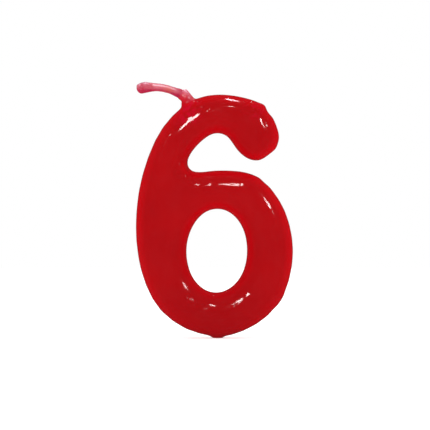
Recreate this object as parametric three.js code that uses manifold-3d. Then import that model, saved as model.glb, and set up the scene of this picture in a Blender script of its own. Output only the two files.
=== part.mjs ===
// A birthday candle in the shape of the number 6, 70 mm tall without its wick.
// Its pieces are a cast wax core, a dipped coat of gloss red wax with a trimmed drip at the foot, a
// braided cotton wick of three plies threaded down the stem, and the film of wax on the bare wick.
// Millimetres. The numeral stands in the XZ plane, +Z up, and its front looks towards -Y.
// The origin is the centre of the flat end of the drip.
import * as THREE from "three";
import { mergeVertices } from "three/addons/utils/BufferGeometryUtils.js";
import Module from "manifold-3d";

// Numeral
const HALF_THICKNESS = 5.8; // from the mid-plane to the crown of either side
const PARTING_LAND = 0.6; // straight band round the edge, where the two mould halves met
const EDGE_ROUND = 4.5; // how far in from the outline the rounding reaches
const OUTSIDE_ROUND_STEPS = 5; // in the rounding of the dipped surface
const INSIDE_ROUND_STEPS = 3; // in that of the surfaces inside
const STEPS_PER_OUTLINE_POINT = 2;
const COUNTER = { x: -0.2, z: 25.15, halfWidth: 8.75, halfHeight: 12.1, lean: -0.03 };
const COUNTER_STEPS = 15; // on each half of the ellipse

// Red coat and its drip
const COAT = 0.8;
const COAT_GAP = 0.2; // between coat and core
const DRIP_TIP_RADIUS = 1.3;
const DRIP_ROOT_RADIUS = 3.4;
const DRIP_HEIGHT = 1.8;
const DRIP_SIDES = 20;

// Wick
const WICK_BARE_LENGTH = 17.6; // from the shoulder to the tip of the bead
const PLY_RADIUS = 0.23;
const BRAID_HALF_WIDTH = 0.46; // how far a ply's centre swings across the flat of the braid
const BRAID_HALF_DEPTH = 0.37; // and through its thickness
const BRAID_PITCH = 6.8; // length in which a ply swings across and back
const PLY_STEPS_PER_PITCH = 8;
const CHANNEL_RADIUS = 1.05; // of the wick's way through the core
const CHANNEL_END_GAP = 0.4; // between the channel's blind end and the plies
const TIP_TO_PLIES = 1.2; // the wax that closes the end of the wick
const PLY_END_GAP = 0.2; // between that wax and the plies
const FILM_RADIUS = 1.12;
const FILM_BORE = 0.86;
const FILM_ROOT = 3; // how far the film runs down past the shoulder
const BEAD_LENGTH = 3.9;
const BEAD_RADIUS = 1.6;
const BEAD_WIDEST = 1.5; // from the tip to the bead's thickest place
const BEAD_OVERLAP = 0.1; // how far the bead's inner end starts below the film's surface

// The coat's collar round the wick, at lengths along the wick from the shoulder
const COLLAR_FOOT = { at: -1, radius: 2.1 };
const COLLAR_WAIST = { at: 1.2, radius: 1.9 };
const COLLAR_TOP = { at: 3.2, radius: 1.9 };
const COLLAR_BORE = 1.4; // hole in the coat, round the film
const COLLAR_SIDES = 16;

// How finely the rods along the wick are divided
const ROD_STEP = 0.9;
const CHANNEL_STEP = 1.7;
const FILM_SIDES = 12;
const CHANNEL_SIDES = 10;
const PLY_SIDES = 6;
const BEAD_SIDES = 14;

const CUT_OVERRUN = 1; // how far a cutter runs past what it cuts
const FULL_TURN = 2 * Math.PI;
const WELD = 1e-4;
const wasm = await Module();
wasm.setup();

// A closed geometry as a solid that can be joined and cut.
function toSolid(geometry) {
  const soup = geometry.index ? geometry.toNonIndexed() : geometry;
  const bare = new THREE.BufferGeometry().setAttribute("position", soup.getAttribute("position"));
  const merged = mergeVertices(bare, WELD);
  const mesh = new wasm.Mesh({
    numProp: 3,
    vertProperties: merged.getAttribute("position").array,
    triVerts: new Uint32Array(merged.index.array),
  });
  return new wasm.Manifold(mesh);
}

function toGeometry(solid) {
  const { vertProperties, triVerts } = solid.getMesh();
  const geometry = new THREE.BufferGeometry();
  geometry.setAttribute("position", new THREE.BufferAttribute(vertProperties, 3));
  geometry.setIndex(new THREE.BufferAttribute(triVerts, 1));
  geometry.computeVertexNormals();
  return geometry;
}

function smoothCurve(points, closed) {
  return new THREE.CatmullRomCurve3(points.map((p) => new THREE.Vector3(...p)), closed, "centripetal");
}

// Outer outline of the 6 in x and z, anticlockwise from the foot.
const BOWL = [
  [0, 0.4], [7.6, 2.05], [14.3, 6.2], [19.2, 12.6], [21.45, 20.7], [21.5, 29], [19.6, 36.3],
  [15.9, 42.3], [12, 46.3], [6.6, 48], [-1, 48.25],
];
const CROTCH_AND_HOOK = [
  [-6.6, 47.8], [-8.5, 49.3], [-8.5, 51.6], [-6, 55.4], [-2.3, 58.4], [0.4, 59], [3, 57.9],
  [5.5, 54.4], [8, 52.1],
];
const TERMINAL = [
  [10.6, 51.1], [13.1, 51.5], [15.6, 53.3], [17.3, 56.1], [17.5, 59.6], [15.5, 64.3], [13.6, 66.75],
];
const TOP_AND_STEM = [
  [11, 68.2], [5.5, 69.7], [0, 70.15], [-5.2, 69.3], [-10.4, 66.4], [-15.7, 60.8], [-20.1, 52.1],
  [-22.7, 42], [-23.55, 32.5], [-22.9, 23.5], [-20.65, 15.1], [-16.1, 7.7], [-9.1, 2.6],
];
const OUTLINE = smoothCurve(
  [...BOWL, ...CROTCH_AND_HOOK, ...TERMINAL, ...TOP_AND_STEM].map(([x, z]) => [x, z, 0]),
  true,
);

// The numeral as a pillow-edged solid whose surface lies inset millimetres inside the dipped surface.
function numeral(inset, bevelSegments) {
  const rim = OUTLINE.getPoints(OUTLINE.points.length * STEPS_PER_OUTLINE_POINT).slice(1);
  const shape = new THREE.Shape(rim.map((p) => new THREE.Vector2(p.x, p.y)));
  const { x, z, halfWidth, halfHeight, lean } = COUNTER;
  const counter = new THREE.Path().absellipse(x, z, halfWidth, halfHeight, 0, FULL_TURN, true, lean);
  shape.holes.push(counter);
  const pillow = new THREE.ExtrudeGeometry(shape, {
    depth: PARTING_LAND,
    curveSegments: COUNTER_STEPS,
    bevelSegments,
    bevelThickness: HALF_THICKNESS - PARTING_LAND / 2 - inset,
    bevelSize: EDGE_ROUND - inset,
    bevelOffset: -EDGE_ROUND,
  });
  return toSolid(pillow.translate(0, 0, -PARTING_LAND / 2).rotateX(Math.PI / 2));
}

// The middle of the wick, from its buried end up the stem, out of the shoulder and over to its tip.
const WICK = smoothCurve(
  [
    [-8.6, 0, 7.4], [-12.9, 0, 14], [-15.7, 0, 25], [-15.9, 0, 39], [-13.4, 0, 51], [-10.2, 0, 59.5],
    [-8.5, 0, 64], [-8.35, 0, 67], [-9.6, -0.1, 69.6], [-12.4, -0.4, 71], [-15.6, -0.7, 71.95],
    [-18.8, -1, 72.2], [-21.6, -1.2, 72], [-23.3, -1.3, 71.75],
  ],
  false,
);
const WICK_LENGTH = WICK.getLength();
const SHOULDER = WICK_LENGTH - WICK_BARE_LENGTH;
const DEPTH = new THREE.Vector3(0, 1, 0);

// The stretch of the wick between two lengths from its buried end. sway(length) moves the curve off
// the middle of the wick: [across the flat of the braid, through its thickness].
class WickStretch extends THREE.Curve {
  constructor(from, to, sway = () => [0, 0]) {
    super();
    Object.assign(this, { from, to, sway });
  }
  getPoint(t, target = new THREE.Vector3()) {
    const length = this.from + (this.to - this.from) * t;
    const [across, deep] = this.sway(length);
    const tangent = WICK.getTangentAt(length / WICK_LENGTH);
    const sideways = new THREE.Vector3().crossVectors(tangent, DEPTH).normalize();
    target.copy(WICK.getPointAt(length / WICK_LENGTH));
    return target.addScaledVector(sideways, across).addScaledVector(DEPTH, deep);
  }
}

function rod(stretch, radius, sides, stepLength) {
  const circle = new THREE.EllipseCurve(0, 0, radius, radius);
  const section = new THREE.Shape(circle.getPoints(sides).slice(1));
  const steps = Math.round((stretch.to - stretch.from) / stepLength);
  return new THREE.ExtrudeGeometry(section, { extrudePath: stretch, steps });
}

// A turned solid whose axis starts at the given length from the wick's buried end and runs in the
// given direction. The profile holds [radius, height] pairs.
function turnedOnWick(profile, length, direction, sides) {
  const turned = new THREE.LatheGeometry(profile.map(([r, h]) => new THREE.Vector2(r, h)), sides);
  turned.applyQuaternion(new THREE.Quaternion().setFromUnitVectors(DEPTH, direction));
  return toSolid(turned.translate(...WICK.getPointAt(length / WICK_LENGTH).toArray()));
}

function waxCore() {
  const wickWay = new WickStretch(0, SHOULDER + FILM_ROOT);
  const channel = toSolid(rod(wickWay, CHANNEL_RADIUS, CHANNEL_SIDES, CHANNEL_STEP));
  return toGeometry(numeral(COAT + COAT_GAP, INSIDE_ROUND_STEPS).subtract(channel));
}

function trimmedDrip() {
  const profile = [
    [0, 0], [DRIP_TIP_RADIUS, 0], [1.8, 0.35], [2.6, 0.8], [DRIP_ROOT_RADIUS, 1.1],
    [DRIP_ROOT_RADIUS, DRIP_HEIGHT], [0, DRIP_HEIGHT],
  ];
  const drip = new THREE.LatheGeometry(profile.map(([r, h]) => new THREE.Vector2(r, h)), DRIP_SIDES);
  return toSolid(drip.rotateX(Math.PI / 2));
}

// A cone round the wick, from one of the collar's sections to the next.
function collarStage(lower, upper) {
  const start = WICK.getPointAt((SHOULDER + lower.at) / WICK_LENGTH);
  const axis = WICK.getPointAt((SHOULDER + upper.at) / WICK_LENGTH).sub(start);
  const height = axis.length();
  const profile = [[0, 0], [lower.radius, 0], [upper.radius, height], [0, height]];
  return turnedOnWick(profile, SHOULDER + lower.at, axis.normalize(), COLLAR_SIDES);
}

function colourCoat() {
  const collar = collarStage(COLLAR_FOOT, COLLAR_WAIST).add(collarStage(COLLAR_WAIST, COLLAR_TOP));
  const holeStart = SHOULDER - FILM_ROOT - CUT_OVERRUN;
  const holeStretch = new WickStretch(holeStart, SHOULDER + COLLAR_TOP.at + CUT_OVERRUN);
  const hole = toSolid(rod(holeStretch, COLLAR_BORE, FILM_SIDES, ROD_STEP));
  const outside = numeral(0, OUTSIDE_ROUND_STEPS).add(trimmedDrip()).add(collar);
  return toGeometry(outside.subtract(numeral(COAT, INSIDE_ROUND_STEPS)).subtract(hole));
}

function wickFilm() {
  const beadProfile = [
    [0, -BEAD_LENGTH], [FILM_RADIUS - BEAD_OVERLAP, -BEAD_LENGTH], [1.45, -2.6], [BEAD_RADIUS, -BEAD_WIDEST],
    [1.35, -0.6], [0.8, -0.12], [0, 0],
  ];
  const bead = turnedOnWick(beadProfile, WICK_LENGTH, WICK.getTangentAt(1), BEAD_SIDES);
  const bareWick = new WickStretch(SHOULDER - FILM_ROOT, WICK_LENGTH - BEAD_WIDEST);
  const sleeve = toSolid(rod(bareWick, FILM_RADIUS, FILM_SIDES, ROD_STEP));
  const pliesEnd = WICK_LENGTH - TIP_TO_PLIES;
  const hollow = new WickStretch(SHOULDER - FILM_ROOT - CUT_OVERRUN, pliesEnd + PLY_END_GAP);
  const bore = toSolid(rod(hollow, FILM_BORE, FILM_SIDES, ROD_STEP));
  const inside = numeral(COAT, INSIDE_ROUND_STEPS);
  return toGeometry(sleeve.add(bead).subtract(bore).subtract(inside));
}

// One ply of the flat braid; turn is 0, 1 or 2.
function braidPly(turn) {
  const weave = (length) => {
    const phase = FULL_TURN * (length / BRAID_PITCH + turn / 3);
    return [BRAID_HALF_WIDTH * Math.cos(phase), BRAID_HALF_DEPTH * Math.sin(2 * phase)];
  };
  const stretch = new WickStretch(CHANNEL_END_GAP, WICK_LENGTH - TIP_TO_PLIES, weave);
  return rod(stretch, PLY_RADIUS, PLY_SIDES, BRAID_PITCH / PLY_STEPS_PER_PITCH);
}

function named(name, geometry, color, roughness) {
  const mesh = new THREE.Mesh(geometry, new THREE.MeshStandardMaterial({ color, roughness, metalness: 0 }));
  mesh.name = name;
  return mesh;
}

const candle = new THREE.Group();
candle.add(named("wax_core", waxCore(), 0xefe6d6, 0.55));
candle.add(named("colour_coat", colourCoat(), 0xb0101a, 0.18));
candle.add(named("wick_film", wickFilm(), 0xd4607a, 0.3));
for (const turn of [0, 1, 2]) {
  candle.add(named(`wick_ply_${turn + 1}`, braidPly(turn), 0xf0e4dc, 0.9));
}

export default candle;
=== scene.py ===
"""A dipped red birthday candle, the number 6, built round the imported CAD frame. Metres throughout."""
import math

import bmesh
import bpy
import numpy as np
from mathutils import Matrix, Vector, noise
from mathutils.bvhtree import BVHTree


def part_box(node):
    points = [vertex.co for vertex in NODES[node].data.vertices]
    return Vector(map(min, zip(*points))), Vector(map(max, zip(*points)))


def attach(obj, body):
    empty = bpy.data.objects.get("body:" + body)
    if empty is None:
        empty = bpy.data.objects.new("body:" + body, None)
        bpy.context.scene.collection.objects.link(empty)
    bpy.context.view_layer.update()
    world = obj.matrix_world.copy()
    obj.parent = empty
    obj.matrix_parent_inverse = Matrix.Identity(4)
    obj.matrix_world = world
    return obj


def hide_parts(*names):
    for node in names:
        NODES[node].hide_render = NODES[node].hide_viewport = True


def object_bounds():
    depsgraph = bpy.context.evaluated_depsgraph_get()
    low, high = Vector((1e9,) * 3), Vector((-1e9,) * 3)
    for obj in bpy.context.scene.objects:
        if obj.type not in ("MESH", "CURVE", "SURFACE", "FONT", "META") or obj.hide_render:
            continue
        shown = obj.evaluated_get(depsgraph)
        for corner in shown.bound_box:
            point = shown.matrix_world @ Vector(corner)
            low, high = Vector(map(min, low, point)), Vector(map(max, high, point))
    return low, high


MM = 0.001
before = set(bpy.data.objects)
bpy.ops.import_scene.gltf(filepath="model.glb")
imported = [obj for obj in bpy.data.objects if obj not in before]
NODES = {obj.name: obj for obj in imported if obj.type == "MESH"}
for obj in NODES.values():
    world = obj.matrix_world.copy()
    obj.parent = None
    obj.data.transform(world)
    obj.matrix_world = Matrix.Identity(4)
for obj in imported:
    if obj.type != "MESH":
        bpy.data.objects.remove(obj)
cad_low, cad_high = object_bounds()

# ---------------------------------------------------------------- places, from the frame
COAT_LOW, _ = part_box("colour_coat")
CORE_LOW, CORE_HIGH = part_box("wax_core")
CORE_INSET = 1.0 * MM  # from the dipped surface to the core's
NUMERAL_LEFT = CORE_LOW.x - CORE_INSET
NUMERAL_WIDTH = CORE_HIGH.x + CORE_INSET - NUMERAL_LEFT
NUMERAL_HEIGHT = CORE_HIGH.z + CORE_INSET - COAT_LOW.z


def on_front(across, up):
    """A point in the numeral's mid-plane from its share of the width and of the height."""
    return Vector((NUMERAL_LEFT + across * NUMERAL_WIDTH, 0, COAT_LOW.z + up * NUMERAL_HEIGHT))


# The middle of the wick in millimetres, from its buried end to its tip: the CAD model's own points.
WICK_ROUTE = [
    (-8.6, 0, 7.4), (-12.9, 0, 14), (-15.7, 0, 25), (-15.9, 0, 39), (-13.4, 0, 51), (-10.2, 0, 59.5),
    (-8.5, 0, 64), (-8.35, 0, 67), (-9.6, -0.1, 69.6), (-12.4, -0.4, 71), (-15.6, -0.7, 71.95),
    (-18.8, -1, 72.2), (-21.6, -1.2, 72), (-23.3, -1.3, 71.75),
]
# The wick's measures, in millimetres too. Lengths run along its middle.
WICK_BARE_LENGTH = 17.6  # from the shoulder to the tip
PLIES = 3
BRAID_HALF_WIDTH = 0.46  # how far a ply's middle swings to either side
BRAID_HALF_DEPTH = 0.37  # and to the front and the back
BRAID_PITCH = 6.8  # length of wick in which a ply crosses over and comes back
PLY_RADIUS = 0.23
PLY_START = 0.4  # from the wick's buried end to its plies
TIP_TO_PLIES = 1.2
PLY_END_GAP = 0.2  # from the plies to the end of the film's bore
FILM_BORE = 0.86  # radius of the hole in the film
COAT_BORE = 1.22  # radius of the coat's hole for the wick and its film

# Camera, light and floor, in metres and in millimetres of lens and sensor.
LENS = 200
SENSOR_WIDTH = 36
PICTURE_TO_NUMERAL = 1.767  # the picture's width to the numeral's height
PICTURE_CENTRE = (0.5035, 0.505)  # in shares of the numeral's width and height
SOFTBOX_DISTANCE = 0.7
ROOM_IN_GLOSS = 0.03  # how bright the room is where the candle mirrors it
FLOOR_RADIUS = 0.9
FLOOR_GAP = 0.02 * MM
FLOOR_GLOW = 0.2  # keeps the floor white close to the foot


# ---------------------------------------------------------------- camera, light and floor
def set_colours():
    """Colours reach the picture as they are, so that the red stays saturated."""
    bpy.context.scene.view_settings.view_transform = "Standard"


def make_camera():
    """Straight on, from far away, so that the candle shows almost no perspective."""
    data = bpy.data.cameras.new("camera")
    data.lens = LENS
    data.sensor_width = SENSOR_WIDTH
    data.clip_start = 0.01
    data.clip_end = 10
    camera = bpy.data.objects.new("camera", data)
    distance = LENS / SENSOR_WIDTH * PICTURE_TO_NUMERAL * NUMERAL_HEIGHT
    centre = on_front(*PICTURE_CENTRE)
    camera.location = (centre.x, -distance, centre.z)
    camera.rotation_euler = (math.radians(90), 0, 0)
    bpy.context.scene.collection.objects.link(camera)
    bpy.context.scene.camera = camera


def softbox(name, direction, width, height, power, colour=(1, 1, 1)):
    """A softbox that faces the middle of the numeral, in that direction from there."""
    data = bpy.data.lights.new(name, "AREA")
    data.shape = "RECTANGLE"
    data.size = width
    data.size_y = height
    data.energy = power
    data.color = colour
    light = bpy.data.objects.new(name, data)
    towards = direction.normalized()
    light.location = on_front(0.5, 0.5) + towards * SOFTBOX_DISTANCE
    light.rotation_euler = (-towards).to_track_quat("-Z", "Y").to_euler()
    bpy.context.scene.collection.objects.link(light)
    return light


def make_world():
    """White behind the object, dim in its gloss, so that the red stays deep."""
    world = bpy.data.worlds.new("studio")
    bpy.context.scene.world = world
    world.use_nodes = True
    nodes, links = world.node_tree.nodes, world.node_tree.links
    nodes.clear()
    rays = nodes.new("ShaderNodeLightPath")
    white = nodes.new("ShaderNodeBackground")
    white.inputs["Color"].default_value = (1, 1, 1, 1)
    dim = nodes.new("ShaderNodeBackground")
    dim.inputs["Color"].default_value = (ROOM_IN_GLOSS, ROOM_IN_GLOSS, ROOM_IN_GLOSS, 1)
    mix = nodes.new("ShaderNodeMixShader")
    out = nodes.new("ShaderNodeOutputWorld")
    links.new(rays.outputs["Is Glossy Ray"], mix.inputs["Fac"])
    links.new(white.outputs["Background"], mix.inputs[1])
    links.new(dim.outputs["Background"], mix.inputs[2])
    links.new(mix.outputs["Shader"], out.inputs["Surface"])


def make_floor():
    bm = bmesh.new()
    bmesh.ops.create_circle(bm, cap_ends=True, radius=FLOOR_RADIUS, segments=96)
    data = bpy.data.meshes.new("floor")
    bm.to_mesh(data)
    bm.free()
    floor = bpy.data.objects.new("floor", data)
    floor.location = (0, 0, cad_low.z - FLOOR_GAP)
    bpy.context.scene.collection.objects.link(floor)
    material, shader, nodes, links = new_material("pale_floor")
    grain = noise_factor(nodes, links, scale=40, detail=4, low=0.3, high=0.7)
    paper = mixed_colour(nodes, links, grain, (0.985, 0.985, 0.985), (1.0, 1.0, 1.0))
    links.new(paper, shader.inputs["Base Color"])
    shader.inputs["Roughness"].default_value = 1
    shader.inputs["Specular IOR Level"].default_value = 0
    shader.inputs["Emission Color"].default_value = (1, 1, 1, 1)
    shader.inputs["Emission Strength"].default_value = FLOOR_GLOW
    data.materials.append(material)
    floor.visible_glossy = False


def from_angles(azimuth, elevation):
    """The direction towards a light: azimuth 0 is the camera's side, and positive is to the right."""
    a, e = math.radians(azimuth), math.radians(elevation)
    return Vector((math.sin(a) * math.cos(e), -math.cos(a) * math.cos(e), math.sin(e)))


LEFT = from_angles(-19, 24)
RIGHT = from_angles(49, 25)
MIDDLE = from_angles(5, 41)
OVERHEAD = Vector((0.13, 0.2, 0.96))
SKY = Vector((0.1, 0.05, 1))
CAMERA = Vector((0, -1, 0))


def make_lights():
    """Four softboxes make the highlights, and one large light from above the soft shading."""
    for box in (
        softbox("left", LEFT, width=0.1, height=0.13, power=1.4),
        softbox("right", RIGHT, width=0.06, height=0.07, power=0.5),
        softbox("middle", MIDDLE, width=0.08, height=0.05, power=0.4),
        softbox("overhead", OVERHEAD, width=0.16, height=0.08, power=1.2, colour=(1, 0.86, 0.98)),
    ):
        box.visible_diffuse = False
    sky = softbox("sky", SKY, width=0.5, height=0.5, power=1.8)
    sky.visible_glossy = False
    sky.data.use_shadow = False


# ---------------------------------------------------------------- materials
def new_material(name):
    material = bpy.data.materials.new(name)
    material.use_nodes = True
    nodes, links = material.node_tree.nodes, material.node_tree.links
    return material, nodes["Principled BSDF"], nodes, links


def noise_factor(nodes, links, scale, detail, low, high):
    """A noise texture on the object's own coordinates, mapped to 0 below low and 1 above high."""
    place = nodes.new("ShaderNodeTexCoord")
    texture = nodes.new("ShaderNodeTexNoise")
    texture.inputs["Scale"].default_value = scale
    texture.inputs["Detail"].default_value = detail
    ramp = nodes.new("ShaderNodeMapRange")
    ramp.inputs["From Min"].default_value = low
    ramp.inputs["From Max"].default_value = high
    links.new(place.outputs["Object"], texture.inputs["Vector"])
    links.new(texture.outputs["Fac"], ramp.inputs["Value"])
    return ramp.outputs["Result"]


def mixed_colour(nodes, links, factor, first, second):
    """The first colour where the factor is 0 and the second where it is 1. Each is RGB or a socket."""
    mix = nodes.new("ShaderNodeMix")
    mix.data_type = "RGBA"
    links.new(factor, mix.inputs["Factor"])
    for socket, colour in ((mix.inputs["A"], first), (mix.inputs["B"], second)):
        if isinstance(colour, tuple):
            socket.default_value = (*colour, 1)
        else:
            links.new(colour, socket)
    return mix.outputs["Result"]


def bumped(nodes, links, shader, height, distance, strength):
    """Gives the surface a fine relief that is that distance high."""
    bump = nodes.new("ShaderNodeBump")
    bump.inputs["Distance"].default_value = distance
    bump.inputs["Strength"].default_value = strength
    links.new(height, bump.inputs["Height"])
    links.new(bump.outputs["Normal"], shader.inputs["Normal"])


def attribute(nodes, name):
    """How much of something a place has, from 0 to 1, as the mesh work stored it on the points."""
    node = nodes.new("ShaderNodeAttribute")
    node.attribute_name = name
    return node.outputs["Fac"]


def product(nodes, links, first, second):
    times = nodes.new("ShaderNodeMath")
    times.operation = "MULTIPLY"
    links.new(first, times.inputs[0])
    links.new(second, times.inputs[1])
    return times.outputs["Value"]


def set_range(nodes, links, shader, socket, factor, low, high):
    """Sets a socket to low where the factor is 0 and to high where it is 1."""
    spread = nodes.new("ShaderNodeMapRange")
    spread.inputs["To Min"].default_value = low
    spread.inputs["To Max"].default_value = high
    links.new(factor, spread.inputs["Value"])
    links.new(spread.outputs["Result"], shader.inputs[socket])


# Colours of the waxes, in linear light.
RED = (0.375, 0.0032, 0.0054)
RED_CLOUD = (0.413, 0.0035, 0.0057)
# Painted edge light: the coat's colour near its outline.
RED_RIM_LIGHT = (0.53, 0.0022, 0.006)
# Painted shade: the coat darker low down and on the left of the stem.
RED_SHADED = (0.33, 0.0033, 0.0055)
# Pink speckled mottle on the shoulder and the hook: partly the wax's own mottle, partly painted sheen.
RED_PINK_MOTTLE_AND_SHEEN = (0.52, 0.002, 0.018)
RED_THIN = (0.58, 0.06, 0.11)
RED_FROST = (0.78, 0.38, 0.46)
FILM_PINK = (0.56, 0.085, 0.12)
FILM_CLOUD = (0.68, 0.16, 0.21)
# Painted highlight: the pale streak along the wick's upper front, also used for a paler band at its back.
FILM_SHEEN_AND_PALE_BAND = (0.98, 0.56, 0.62)
FILM_WARM = (0.62, 0.13, 0.1)
# Deeper red where the wax is thick at the bead and the neck, and painted shade along the wick's edges and
# its lower side.
FILM_DEEP_AND_SHADED = (0.45, 0.012, 0.055)
FILM_FROST = (0.78, 0.42, 0.52)


def frosted(nodes, links, colour, frost_colour):
    """Wax crystals over the colour, where the mesh has frost."""
    crystals = noise_factor(nodes, links, scale=1400, detail=3, low=0.3, high=0.6)
    frost = product(nodes, links, attribute(nodes, "frost"), crystals)
    return mixed_colour(nodes, links, frost, colour, frost_colour)


def gloss_red_wax():
    """Dipped red wax: deep and glossy, pink and frosted where it climbs the wick. Painted light is in its
    colour too: a painted edge light makes it brighter near the outline, painted shade makes it darker low
    down and on the left of the stem, and its pink speckled mottle on the shoulder and the hook is partly the
    wax's own and partly painted sheen.
    """
    material, shader, nodes, links = new_material("gloss_red_wax")
    cloud = noise_factor(nodes, links, scale=60, detail=3, low=0.35, high=0.7)
    colour = mixed_colour(nodes, links, cloud, RED, RED_CLOUD)
    # Painted edge light: brighter near the outline.
    colour = mixed_colour(nodes, links, attribute(nodes, "painted_rim_light"), colour, RED_RIM_LIGHT)
    # Painted shade: darker towards the bottom and on the left of the stem.
    colour = mixed_colour(nodes, links, attribute(nodes, "dark"), colour, RED_SHADED)
    # Pink speckled mottle: partly the wax's own, partly painted sheen.
    speckle = noise_factor(nodes, links, scale=700, detail=3, low=0.45, high=0.6)
    mottle_and_sheen = product(nodes, links, attribute(nodes, "pink"), speckle)
    colour = mixed_colour(nodes, links, mottle_and_sheen, colour, RED_PINK_MOTTLE_AND_SHEEN)
    colour = mixed_colour(nodes, links, attribute(nodes, "thin_wax_sheen_and_stain"), colour, RED_THIN)
    colour = frosted(nodes, links, colour, RED_FROST)
    links.new(colour, shader.inputs["Base Color"])
    smear = noise_factor(nodes, links, scale=300, detail=4, low=0.4, high=0.8)
    set_range(nodes, links, shader, "Roughness", smear, low=0.08, high=0.15)
    shader.inputs["IOR"].default_value = 1.44
    shader.inputs["Specular IOR Level"].default_value = 0.4
    shader.inputs["Subsurface Weight"].default_value = 0.35
    shader.inputs["Subsurface Radius"].default_value = (1.0, 0.12, 0.08)
    shader.inputs["Subsurface Scale"].default_value = 0.8 * MM
    fine = noise_factor(nodes, links, scale=900, detail=2, low=0.3, high=0.7)
    bumped(nodes, links, shader, fine, distance=0.02 * MM, strength=0.3)
    return material


def wick_wax():
    """The film on the wick: a painted highlight streak runs along its upper front and a paler band along its
    back, it is frosted in places, and painted shade darkens its edges and its lower side.
    """
    material, shader, nodes, links = new_material("wick_wax")
    cloud = noise_factor(nodes, links, scale=500, detail=3, low=0.3, high=0.7)
    colour = mixed_colour(nodes, links, cloud, FILM_PINK, FILM_CLOUD)
    # Painted highlight along the upper front, and a paler band at the back.
    colour = mixed_colour(nodes, links, attribute(nodes, "thin_wax_sheen_and_stain"), colour, FILM_SHEEN_AND_PALE_BAND)
    colour = mixed_colour(nodes, links, attribute(nodes, "warm"), colour, FILM_WARM)
    # Deeper red at the bead and the neck, painted shade at the wick's edges and lower side.
    colour = mixed_colour(nodes, links, attribute(nodes, "deep"), colour, FILM_DEEP_AND_SHADED)
    colour = frosted(nodes, links, colour, FILM_FROST)
    links.new(colour, shader.inputs["Base Color"])
    set_range(nodes, links, shader, "Roughness", cloud, low=0.25, high=0.4)
    shader.inputs["IOR"].default_value = 1.44
    shader.inputs["Specular IOR Level"].default_value = 0.3
    shader.inputs["Subsurface Weight"].default_value = 0.4
    shader.inputs["Subsurface Radius"].default_value = (1.0, 0.3, 0.25)
    shader.inputs["Subsurface Scale"].default_value = 0.5 * MM
    fine = noise_factor(nodes, links, scale=1600, detail=3, low=0.3, high=0.7)
    bumped(nodes, links, shader, fine, distance=0.03 * MM, strength=0.4)
    return material


def plain_wax():
    """Undyed cast wax, satin and a little translucent."""
    material, shader, nodes, links = new_material("plain_wax")
    cloud = noise_factor(nodes, links, scale=90, detail=5, low=0.35, high=0.65)
    colour = mixed_colour(nodes, links, cloud, (0.84, 0.78, 0.66), (0.9, 0.86, 0.76))
    links.new(colour, shader.inputs["Base Color"])
    shader.inputs["Roughness"].default_value = 0.5
    shader.inputs["Subsurface Weight"].default_value = 0.5
    shader.inputs["Subsurface Radius"].default_value = (1.0, 0.8, 0.6)
    shader.inputs["Subsurface Scale"].default_value = 1.5 * MM
    grain = noise_factor(nodes, links, scale=700, detail=3, low=0.3, high=0.7)
    bumped(nodes, links, shader, grain, distance=0.05 * MM, strength=0.4)
    return material


def cotton():
    """Waxed cotton, fluffy, and stained pink towards the tip."""
    material, shader, nodes, links = new_material("cotton")
    fluff = noise_factor(nodes, links, scale=2500, detail=5, low=0.35, high=0.65)
    colour = mixed_colour(nodes, links, fluff, (0.70, 0.62, 0.55), (0.88, 0.83, 0.77))
    colour = mixed_colour(nodes, links, attribute(nodes, "thin_wax_sheen_and_stain"), colour, (0.78, 0.42, 0.44))
    links.new(colour, shader.inputs["Base Color"])
    shader.inputs["Roughness"].default_value = 0.85
    shader.inputs["Sheen Weight"].default_value = 0.3
    bumped(nodes, links, shader, fluff, distance=0.05 * MM, strength=0.6)
    return material


# ---------------------------------------------------------------- mesh work in numpy, millimetres
def positions(mesh):
    flat = np.zeros(len(mesh.vertices) * 3)
    mesh.vertices.foreach_get("co", flat)
    return flat.reshape(-1, 3) / MM


def set_positions(mesh, points):
    mesh.vertices.foreach_set("co", (points * MM).ravel())
    mesh.update()


def normals(mesh):
    flat = np.zeros(len(mesh.vertices) * 3)
    mesh.vertex_normals.foreach_get("vector", flat)
    return flat.reshape(-1, 3)


def relaxed(points, edges, weight, rounds):
    """Each round moves a point halfway, times its weight, to the mean of its neighbours."""
    first, second = edges.T
    count = np.bincount(edges.ravel(), minlength=len(points))[:, None]
    points = points.copy()
    for _ in range(rounds):
        total = np.empty_like(points)
        for axis in range(3):
            column = points[:, axis]
            total[:, axis] = np.bincount(first, column[second], len(points))
            total[:, axis] += np.bincount(second, column[first], len(points))
        points += 0.5 * weight[:, None] * (total / count - points)
    return points


def smoothed(points, mesh, weight, rounds):
    """Takes the facets off and keeps the size: what the relaxing took away is relaxed and put back."""
    flat = np.zeros(len(mesh.edges) * 2, int)
    mesh.edges.foreach_get("vertices", flat)
    edges = flat.reshape(-1, 2)
    soft = relaxed(points, edges, weight, rounds)
    return soft + relaxed(points - soft, edges, weight, rounds)


def added(data, name):
    thing = bpy.data.objects.new(name, data)
    bpy.context.scene.collection.objects.link(thing)
    return thing


def bake_modifiers(thing):
    """Applies the modifiers to the object's own mesh."""
    result = thing.evaluated_get(bpy.context.evaluated_depsgraph_get())
    mesh = bpy.data.meshes.new_from_object(result)
    thing.modifiers.clear()
    thing.data = mesh
    mesh.name = thing.name


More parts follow.
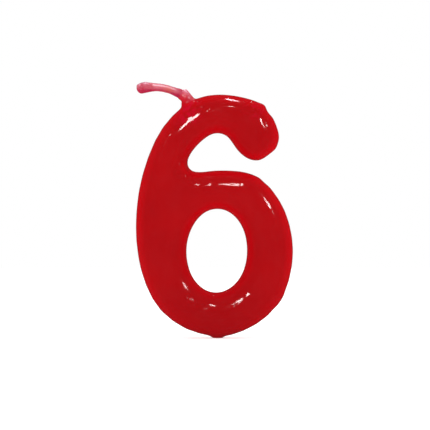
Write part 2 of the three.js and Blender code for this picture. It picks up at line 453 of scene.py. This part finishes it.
def remeshed(node, name, voxel, lumps=()):
    """An even mesh over a CAD node, joined with lumps: ellipsoids given as (centre, radii)."""
    copy = added(NODES[node].data.copy(), name)
    copy.data.materials.clear()
    bm = bmesh.new()
    bm.from_mesh(copy.data)
    bmesh.ops.remove_doubles(bm, verts=bm.verts, dist=0.001 * MM)
    for centre, radii in lumps:
        place = Matrix.Translation(Vector(centre) * MM) @ Matrix.Diagonal((*(Vector(radii) * MM), 1))
        bmesh.ops.create_icosphere(bm, subdivisions=3, radius=1, matrix=place)
    bm.to_mesh(copy.data)
    bm.free()
    remesh = copy.modifiers.new("remesh", "REMESH")
    remesh.mode = "VOXEL"
    remesh.voxel_size = voxel
    bake_modifiers(copy)
    return copy


def drilled(piece, tool):
    """Cuts the tool's shape out of the piece, and removes the tool."""
    cut = piece.modifiers.new("cut", "BOOLEAN")
    cut.operation = "DIFFERENCE"
    cut.object = tool
    bake_modifiers(piece)
    bpy.data.objects.remove(tool)


def store(mesh, name, values):
    """Keeps a value from 0 to 1 for each point, for the material to read."""
    layer = mesh.attributes.new(name, "FLOAT", "POINT")
    layer.data.foreach_set("value", np.clip(values, 0, 1).astype(np.float32))


def faded(distance):
    """1 at distance 0, falling smoothly to 0 at distance 1."""
    distance = np.clip(distance, 0, 1)
    return (1 - distance) ** 2 * (1 + 2 * distance)


def near(points, centre, radius):
    """1 at the centre, falling smoothly to 0 at the radius, for each point. All in millimetres."""
    return faded(np.linalg.norm(points - np.array(centre), axis=1) / radius)


def waves(points, length, seed):
    """Smooth noise between about -1 and 1 with waves of about that length, for each point."""
    shift = Vector((seed * 7.3, seed * 3.1, seed * 5.7))
    return np.array([noise.noise(Vector(p) / length + shift) for p in points])


# The CAD body has straight edges this far from its mid-plane, then a rounding that ends in a flat side.
LAND = 0.3
CAD_ROUND = 4.5
HALF_THICKNESS = -COAT_LOW.y / MM
TOUCHING = 0.001  # points this close to the land count as being on it
CROWN_ROUND = 6.6  # how far in from the edge the crowned side goes on rising
# Where it rises faster, so that the front is flatter: (place, reach, how much shorter the rise is).
FLATTER = [
    ((3.5, 65), 8, 2.4),
    ((-14, 55), 8, 3.8),
    ((-11, 47), 6, 2.5),
]


def core_edge():
    """The straight band round the edge of the CAD core, to measure from."""
    mesh = NODES["wax_core"].data
    corners = positions(mesh)
    on_land = np.abs(np.abs(corners[:, 1]) - LAND) < TOUCHING
    faces = [tuple(p.vertices) for p in mesh.polygons if all(on_land[v] for v in p.vertices)]
    return BVHTree.FromPolygons([Vector(c) for c in corners], faces)


def depth_from_edge(points):
    """How far each point lies inside the numeral's outline, seen from the front."""
    edge = core_edge()
    depth = np.empty(len(points))
    for i, (x, y, z) in enumerate(points):
        spot = Vector((x, 0, z))
        place, normal, _, distance = edge.find_nearest(spot)
        outside = (spot - place).dot(normal) > 0
        depth[i] = CORE_INSET / MM + (-distance if outside else distance)
    return np.maximum(depth, 0)


# Unevenness of the hand-dipped outline: (place, reach, shift).
OUTLINE_SHIFTS = [
    ((14.7, 65.1), 2.4, (-0.3, -0.2)),  # nick in the end of the hook
    ((13.2, 67.1), 2.0, (0.15, 0.15)),
    ((17.6, 57.5), 3.5, (0.2, 0)),
    ((14.6, 52.3), 3.2, (-0.12, 0.2)),  # flat of its lower corner
    ((16.9, 54.6), 2.2, (0.15, -0.05)),
    ((13.4, 44.6), 2.4, (-0.12, -0.12)),  # slight nick in the bowl's shoulder
    ((18.2, 10.9), 4.0, (0.2, -0.15)),
    ((-10.95, 68.15), 1.0, (0.45, 0)),  # notch under the spur of the neck
]
# Nearly flat patches of the front that mirror a light, or the dark room on the camera's side:
# (place, half length, half width, slope in degrees, direction of what they mirror).
PATCHES = [
    ((-9.7, 61.2), 2.0, 0.7, 46, LEFT),
    ((-8.1, 62.9), 1.7, 1.3, 40, LEFT),
    ((-5.75, 64.3), 0.95, 0.9, 0, LEFT),
    ((-4.6, 66.4), 1.7, 1.0, -25, MIDDLE),
    ((-2.3, 65.8), 1.1, 0.9, 0, MIDDLE),
    ((-5.95, 68.3), 1.3, 1.1, 0, OVERHEAD),
    ((9.95, 67.75), 1.4, 0.7, -20, OVERHEAD),
    ((-6.5, 43.1), 1.8, 0.6, 8, MIDDLE),
    ((-2.5, 44.0), 2.8, 0.7, 13, MIDDLE),
    ((5.3, 44.3), 3.5, 0.9, -2, MIDDLE),
    ((7.2, 44.35), 1.3, 1.1, 0, MIDDLE),
    ((14.65, 38.3), 2.2, 0.8, -60, RIGHT),
    ((14.0, 61.5), 1.9, 1.0, -55, RIGHT),
    ((-7.4, 11.2), 2.5, 1.3, -50, MIDDLE),
    ((-3.4, 8.6), 1.9, 1.5, 0, MIDDLE),
    ((4.1, 9.1), 0.9, 0.7, 0, MIDDLE),
    ((8.7, 12.5), 2.0, 0.9, 50, LEFT),
    ((6.4, 10.6), 2.0, 0.4, 35, LEFT),
    ((-13.3, 57.4), 3.0, 2.2, 55, CAMERA),
    ((-10.7, 48.2), 3.0, 3.0, 0, CAMERA),
]
PATCH_FILL = 1.5  # above 1, so that a patch's middle is quite flat
FRONT_STARTS = 2  # how far in front of the mid-plane the patches start to fade in


def patched(points):
    """Blends the front into the nearly flat patches."""
    points = points.copy()
    in_front = np.clip(-points[:, 1] - FRONT_STARTS, 0, 1)
    for place, length, width, slope, mirrored in PATCHES:
        turn = math.radians(slope)
        offset = points[:, [0, 2]] - np.array(place)
        along = offset @ (math.cos(turn), math.sin(turn)) / length
        across = offset @ (-math.sin(turn), math.cos(turn)) / width
        distance = np.hypot(along, across)
        weight = in_front * np.clip(PATCH_FILL * faded(distance), 0, 1)
        facing = mirrored + CAMERA  # halfway between what is mirrored and the camera
        middle = np.argmin(np.where(in_front < 1, np.inf, distance))
        level = points[middle, 1] - (offset - offset[middle]) @ (facing.x, facing.z) / facing.y
        points[:, 1] += weight * (level - points[:, 1])
    return points


def shifted(points):
    """Moves the outline by the shifts above, through the whole thickness."""
    points = points.copy()
    flat = points[:, [0, 2]]
    for place, reach, shift in OUTLINE_SHIFTS:
        points[:, [0, 2]] += near(flat, place, reach)[:, None] * np.array(shift)
    return points


def rounding(depth, reach):
    """Half the thickness at that depth, for a rounding that goes on rising as far in as reach."""
    up = 1 - np.minimum(depth, reach) / reach
    return LAND + (HALF_THICKNESS - LAND) * np.sqrt(1 - up**2)


def crowned(points):
    """Turns the CAD body's flat sides into crowned ones that rise to the middle of the stroke."""
    depth = depth_from_edge(points)
    points = points.copy()
    reach = CROWN_ROUND - sum(less * near(points[:, [0, 2]], place, size) for place, size, less in FLATTER)
    points[:, 1] *= rounding(depth, reach) / rounding(depth, CAD_ROUND)
    return points


# ---------------------------------------------------------------- the wick's line and what is swept on it
def smooth_route(points, per_span=40):
    """A smooth curve through the points, the centripetal Catmull-Rom one that the CAD model uses."""
    p = np.array(points, float)
    p = np.vstack([2 * p[0] - p[1], p, 2 * p[-1] - p[-2]])
    t = np.linspace(0, 1, per_span, endpoint=False)[:, None]
    spans = []
    for p0, p1, p2, p3 in zip(p, p[1:], p[2:], p[3:]):
        a, b, c = (math.sqrt(np.linalg.norm(q)) for q in (p1 - p0, p2 - p1, p3 - p2))
        start = (p1 - p0) / a - (p2 - p0) / (a + b) + (p2 - p1) / b
        end = (p2 - p1) / b - (p3 - p1) / (b + c) + (p3 - p2) / c
        chord = p2 - p1
        spans.append(
            p1 + b * start * t + (3 * chord - 2 * b * start - b * end) * t**2
            + (b * start + b * end - 2 * chord) * t**3
        )
    return np.vstack([*spans, p[-2:-1]])


def running_length(line):
    return np.concatenate([[0], np.cumsum(np.linalg.norm(np.diff(line, axis=0), axis=1))])


def evenly(line, spacing):
    """The line's points again, at an even spacing."""
    run = running_length(line)
    marks = np.linspace(0, run[-1], round(run[-1] / spacing) + 1)
    return np.stack([np.interp(marks, run, column) for column in line.T], axis=1)


TANGENT_REACH = 0.3
ROD_RING_SPACING = 0.3
WICK_LINE = smooth_route(WICK_ROUTE)
WICK_RUN = running_length(WICK_LINE)
WICK_LENGTH = WICK_RUN[-1]
SHOULDER = WICK_LENGTH - WICK_BARE_LENGTH


def unit(vectors):
    return vectors / np.linalg.norm(vectors, axis=-1, keepdims=True)


def wick_point(lengths):
    """The points of the wick's middle at those lengths from its buried end."""
    return np.stack([np.interp(lengths, WICK_RUN, column) for column in WICK_LINE.T], axis=-1)


def across_wick(lengths):
    """Two directions square to the wick at those lengths. On its bare part they are down and to the back."""
    tangent = unit(wick_point(lengths + TANGENT_REACH) - wick_point(lengths - TANGENT_REACH))
    sideways = unit(np.cross(tangent, (0, 1, 0)))
    return sideways, np.cross(sideways, tangent)


def angles_round(sides):
    return np.linspace(0, 2 * math.pi, sides, endpoint=False)


def rings_on(centres, sideways, deep, radius, sides):
    """Rings of points round the centres. radius is one value for all, or one for each point."""
    angle = angles_round(sides)
    around = np.cos(angle)[None, :, None] * sideways[:, None] + np.sin(angle)[None, :, None] * deep[:, None]
    return centres[:, None] + np.broadcast_to(radius, (len(centres), sides))[..., None] * around


def skin(name, start, rings, end):
    """A closed surface over rings of points, from a point at one end to a point at the other."""
    count, sides, _ = rings.shape
    points = np.vstack([[start], rings.reshape(-1, 3), [end]])
    grid = 1 + np.arange(count * sides).reshape(count, sides)
    turned = np.roll(grid, -1, axis=1)
    faces = np.stack([grid[:-1], turned[:-1], turned[1:], grid[1:]], axis=-1).reshape(-1, 4).tolist()
    faces += [(0, b, a) for a, b in zip(grid[0].tolist(), turned[0].tolist())]
    faces += [(len(points) - 1, a, b) for a, b in zip(grid[-1].tolist(), turned[-1].tolist())]
    mesh = bpy.data.meshes.new(name)
    mesh.from_pydata((points * MM).tolist(), [], faces)
    bm = bmesh.new()
    bm.from_mesh(mesh)
    bmesh.ops.recalc_face_normals(bm, faces=bm.faces)
    bm.to_mesh(mesh)
    bm.free()
    return added(mesh, name)


def rod_on_wick(name, start, end, radius, sides):
    """A round rod along the wick between two lengths."""
    lengths = np.linspace(start, end, round((end - start) / ROD_RING_SPACING))
    centres = wick_point(lengths)
    rings = rings_on(centres, *across_wick(lengths), radius, sides)
    return skin(name, centres[0], rings, centres[-1])


# ---------------------------------------------------------------- pieces
def finished(piece, material, slot, *replaced):
    """Gives a piece its material and its place in the frame."""
    piece.data.materials.append(material)
    for polygon in piece.data.polygons:
        polygon.use_smooth = True
    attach(piece, "root")
    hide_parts(*replaced)


COAT_VOXEL = 0.32 * MM
CORE_VOXEL = 0.5 * MM
COAT_SMOOTHING = 60  # rounds, as the two below
CORE_SMOOTHING = 30
JUNCTION_SMOOTHING = 250
SHARP_PLACES = [((0, 0, 0), 5), ((-9, 0, 69), 5)]  # the drip and the collar: (centre, reach)
SHARPNESS = 0.85  # how much of the smoothing is kept away from them
JUNCTION = ((-11, 43), 14)  # where the bowl meets the stem, the front is nearly flat: (place, reach)
FLAT_FROM = 1.8  # how far in from the edge that flatness starts
FLAT_FADE = 3
SHOULDER_FRONT = ((-7.5, 63.5), 9)  # (place, reach)
SWELL_HEIGHT, SWELL_LENGTH = 0.12, 9  # the coat's slow waves
RIPPLE_HEIGHT, RIPPLE_LENGTH = 0.1, 2.4  # and the short ones on the shoulder
BORE_BELOW = 4  # how far the coat's bore runs below the shoulder
BORE_ABOVE = 7  # and above it
BORE_SIDES = 32
# How the coat climbs the wick: (length from the shoulder, radius) of the round lumps it is made of.
NECK = [(0.4, 1.95), (1.1, 1.85), (1.8, 1.8), (2.5, 1.75), (3.2, 1.7), (3.9, 1.55), (4.5, 1.4)]
FROSTED_BUMP = (-9.1, -0.25, 71.1)
SPUR = (-11.05, -0.2, 68.9)
NECK_LUMPS = [  # (centre, radii)
    (FROSTED_BUMP, (0.75, 0.75, 0.7)),
    ((-8.5, 0, 69.9), (0.95, 1.1, 0.9)),
    ((-7.8, 0, 68.7), (1.2, 1.5, 1.1)),
    (SPUR, (0.45, 0.45, 0.5)),
    ((-10.7, -0.2, 69.3), (0.6, 0.7, 0.5)),
]


# Where the coat's colour changes: (place, reach), seen from the front or as a point.
# Painted edge light: how far in from the outline the coat is brighter.
RIM_LIGHT_WIDTH = 2.6
# Painted shade: darker below this height, and on the left of the stem at (place, reach).
SHADED_BELOW = 20
SHADED_SIDE = ((-15.5, 28), 14)
# Where the pink mottle, partly painted sheen, lies on the shoulder and the hook.
MOTTLE_AND_SHEEN_SHOULDER = ((-9, 65), 6)
MOTTLE_AND_SHEEN_HOOK = ((11, 66), 5)
THIN_FROM = 66.8  # the height where the coat starts to get thinner over the wick
THIN_FADE = 4.5
THIN_COLLAR = ((-9.6, 0, 70.8), 6)
FROSTED_TOP = (FROSTED_BUMP, 2.2)
FROSTED_NECK = ((-7.8, -1, 69.6), 2)


def coat_lumps():
    neck = [(wick_point(SHOULDER + at), (radius,) * 3) for at, radius in NECK]
    return neck + NECK_LUMPS


def soft_body(points, mesh):
    """Takes the facets off, less so in the sharp places, and flattens the front of the junction."""
    sharp = np.maximum.reduce([near(points, centre, reach) for centre, reach in SHARP_PLACES])
    points = smoothed(points, mesh, 1 - SHARPNESS * sharp, COAT_SMOOTHING)
    inner = np.clip((depth_from_edge(points) - FLAT_FROM) / FLAT_FADE, 0, 1)
    flatter = near(points[:, [0, 2]], *JUNCTION) * inner
    return smoothed(points, mesh, flatter, JUNCTION_SMOOTHING)


def rippled(points, mesh):
    """Gives the coat slow waves everywhere and short ones on the shoulder, along the mesh's normals."""
    rise = SWELL_HEIGHT * waves(points, SWELL_LENGTH, seed=1)
    ripples = RIPPLE_HEIGHT * waves(points, RIPPLE_LENGTH, seed=2)
    rise += near(points[:, [0, 2]], *SHOULDER_FRONT) * ripples
    return points + normals(mesh) * rise[:, None]


def store_coat_looks(mesh):
    """Where the coat has its painted edge light, its painted shade, its pink mottle with painted sheen, its
    wax getting thinner over the wick, and its frost.
    """
    points = positions(mesh)
    flat, height = points[:, [0, 2]], points[:, 2]
    store(mesh, "painted_rim_light", 1 - depth_from_edge(points) / RIM_LIGHT_WIDTH)
    # Painted shade, darker towards the bottom and on the left of the stem.
    store(mesh, "dark", 1 - height / SHADED_BELOW + 0.8 * near(flat, *SHADED_SIDE))
    store(mesh, "pink", 1.2 * near(flat, *MOTTLE_AND_SHEEN_SHOULDER) + 0.7 * near(flat, *MOTTLE_AND_SHEEN_HOOK))
    store(mesh, "thin_wax_sheen_and_stain", (height - THIN_FROM) / THIN_FADE * near(points, *THIN_COLLAR))
    store(mesh, "frost", 1.3 * near(points, *FROSTED_TOP) + 0.3 * near(points, *FROSTED_NECK))


def make_coat():
    coat = remeshed("colour_coat", "dipped_coat", COAT_VOXEL, coat_lumps())
    points = shifted(soft_body(crowned(positions(coat.data)), coat.data))
    set_positions(coat.data, points)
    points = patched(rippled(points, coat.data))
    points[:, 2] = np.maximum(points[:, 2], 0)  # nothing reaches below the foot
    set_positions(coat.data, points)
    drilled(coat, rod_on_wick("bore", SHOULDER - BORE_BELOW, SHOULDER + BORE_ABOVE, COAT_BORE, BORE_SIDES))
    store_coat_looks(coat.data)
    finished(coat, gloss_red_wax(), "red_wax", "colour_coat")


def make_core():
    core = remeshed("wax_core", "cast_core", CORE_VOXEL)
    points = crowned(positions(core.data))
    points = smoothed(points, core.data, np.ones(len(points)), CORE_SMOOTHING)
    set_positions(core.data, points)
    finished(core, plain_wax(), "plain_wax", "wax_core")


FILM_SIDES = 48
FILM_RING_SPACING = 0.13
FILM_BORE_SPACING = 0.3
BRAID_SHOWING = 0.03  # how much of the film's radius the braid under it takes or gives
BARE_FROM_TIP = 14  # the film is uneven from the tip to here
# The film's outline from inside the collar to the tip: (length left to the tip, radius).
FILM_OUTLINE = [
    (18.8, 1.12), (15.6, 1.12), (13.9, 1.14), (13.1, 1.3), (12.4, 1.3), (11.4, 1.17), (9, 1.12), (7, 1.13),
    (5.4, 1.13), (4.7, 1.2), (4.1, 1.28), (3.5, 1.4), (2.9, 1.5), (2.3, 1.58), (1.75, 1.62), (1.2, 1.52),
    (0.6, 1.2), (0.15, 0.68), (0, 0.1),
]
BEAD = ((-21.6, -1.2, 72), 3.4)  # (centre, reach), as the three below
WARM_WAX = ((-14.3, -1.6, 70.7), 2.4)
BEAD_FROST = ((-20.9, -1.5, 73.4), 1.6)
BEAD_FAINT_FROST = ((-22.6, -2, 72.9), 1.2)
FILM_LUMPS = [  # (centre, radius, height)
    ((-20.7, -1.3, 73.5), 1.0, 0.16),
    ((-22.2, -1.3, 70.5), 1.2, 0.14),
    ((-23.1, -1.4, 72.8), 0.8, 0.12),
]
# Angles round the wick, in radians, where a half turn is its top and three quarters of a turn its front.
FRONT_UP = 2 * math.pi * 0.67
BACK = 1.6


def band(around, middle, half_width):
    """1 at that angle round the wick, falling to 0 at the half width."""
    return np.clip(1 - np.abs(around - middle) / half_width, 0, 1)


def soft_band(around, middle, width):
    """1 at that angle round the wick, and fading away on both sides."""
    return np.exp(-(((around - middle) / width) ** 2))


def film_skin():
    """The film: its bore from the tip's end to the root, then its outside from the root to the tip.
    With the piece it gives, for each point, the length left to the tip, the angle round the wick
    and whether the point is on the outside."""
    outline = evenly(smooth_route([(left, radius, 0) for left, radius in FILM_OUTLINE]), FILM_RING_SPACING)
    lengths, radius = WICK_LENGTH - outline[:, 0], outline[:, 1]
    bore_end = WICK_LENGTH - TIP_TO_PLIES + PLY_END_GAP
    bore_lengths = np.arange(bore_end, lengths[0], -FILM_BORE_SPACING)
    bore_lengths[-1] = lengths[0]
    angle = angles_round(FILM_SIDES)
    braid = BRAID_SHOWING * np.cos(2 * angle[None, :] + 2 * math.pi * lengths[:, None] / BRAID_PITCH)
    radii = radius[:, None] * (1 + braid)
    outside = rings_on(wick_point(lengths), *across_wick(lengths), radii, FILM_SIDES)
    bore = rings_on(wick_point(bore_lengths), *across_wick(bore_lengths), FILM_BORE, FILM_SIDES)
    rings = np.vstack([bore, outside])
    film = skin("wick_skin", wick_point(bore_lengths[0]), rings, wick_point(WICK_LENGTH))
    ring_lengths = np.concatenate([bore_lengths, lengths])
    point_lengths = np.concatenate([[bore_end], np.repeat(ring_lengths, FILM_SIDES), [WICK_LENGTH]])
    around = np.concatenate([[0], np.tile(angle, len(ring_lengths)), [0]])
    is_outside = np.arange(len(point_lengths)) > len(bore_lengths) * FILM_SIDES
    return film, WICK_LENGTH - point_lengths, around, is_outside


def store_film_looks(mesh, left, around):
    """Where a painted highlight streak runs along the upper front and a paler band along the back, where the
    wax is warm, deep or frosted, and where painted shade darkens the edges and the lower side.
    """
    points = positions(mesh)
    # The band on the upper front is a painted highlight; the one at the back is a paler band.
    painted_sheen_and_back_band = band(around, FRONT_UP, 0.34) + band(around, BACK, 0.6)
    between_bead_and_neck = np.clip((left - 4.2) / 0.8, 0, 1) * np.clip((12 - left) / 1.5, 0, 1)
    # Painted shade: dark bands near the wick's top and lower edges as seen from the front, and a darker
    # lower side.
    edges = soft_band(around, FRONT_UP - 0.8, 0.32) + soft_band(around, FRONT_UP + 1.25, 0.4)
    shaded_underside = np.clip((wick_point(WICK_LENGTH - left)[:, 2] - 0.75 - points[:, 2]) / 0.4, 0, 1)
    near_neck = np.clip((left - 10) / 3.5, 0, 0.7)
    store(mesh, "thin_wax_sheen_and_stain", painted_sheen_and_back_band * between_bead_and_neck)
    store(mesh, "deep", 0.85 * near(points, *BEAD) + 0.8 * edges + 0.5 * shaded_underside + near_neck)
    store(mesh, "warm", near(points, *WARM_WAX))
    store(mesh, "frost", near(points, *BEAD_FROST) + 0.8 * near(points, *BEAD_FAINT_FROST))


def make_film():
    film, left, around, is_outside = film_skin()
    points = positions(film.data)
    bare = is_outside * np.clip((BARE_FROM_TIP - left) / 2, 0, 1)
    rise = 0.05 * waves(points, length=1.6, seed=3) + 0.02 * waves(points, length=0.6, seed=4)
    for centre, reach, height in FILM_LUMPS:
        rise += height * near(points, centre, reach)
    points += normals(film.data) * (bare * rise)[:, None]
    set_positions(film.data, points)
    store_film_looks(film.data, left, around)
    finished(film, wick_wax(), "wick_wax", "wick_film")


PLY_SIDES = 18
PLY_RING_SPACING = 0.12
STRANDS = 3
STRAND_PITCH = 2.4  # length of ply in which its strands go once round
STRAND_RELIEF = 0.07  # share of the ply's radius


def make_ply(turn, material):
    """One cotton ply of the flat braid, spun from its strands."""
    lengths = np.arange(PLY_START, WICK_LENGTH - TIP_TO_PLIES, PLY_RING_SPACING)
    phase = 2 * math.pi * (lengths / BRAID_PITCH + turn / PLIES)
    sideways, _ = across_wick(lengths)
    centres = wick_point(lengths) + (BRAID_HALF_WIDTH * np.cos(phase))[:, None] * sideways
    centres[:, 1] += BRAID_HALF_DEPTH * np.sin(2 * phase)
    tangent = unit(np.gradient(centres, axis=0))
    side = unit(np.cross(tangent, (0, 1, 0)))
    spin = 2 * math.pi * lengths[:, None] / STRAND_PITCH
    relief = STRAND_RELIEF * np.cos(STRANDS * (angles_round(PLY_SIDES)[None, :] + spin))
    radii = PLY_RADIUS * (1 - STRAND_RELIEF + relief)
    rings = rings_on(centres, side, np.cross(side, tangent), radii, PLY_SIDES)
    ply = skin(f"cotton_ply_{turn + 1}", centres[0], rings, centres[-1])
    store(ply.data, "thin_wax_sheen_and_stain", (positions(ply.data)[:, 2] - 60) / 10)
    finished(ply, material, "cotton", f"wick_ply_{turn + 1}")


set_colours()
make_camera()
make_world()
make_lights()
make_floor()
make_coat()
make_core()
make_film()
cotton_material = cotton()
for turn in range(PLIES):
    make_ply(turn, cotton_material)
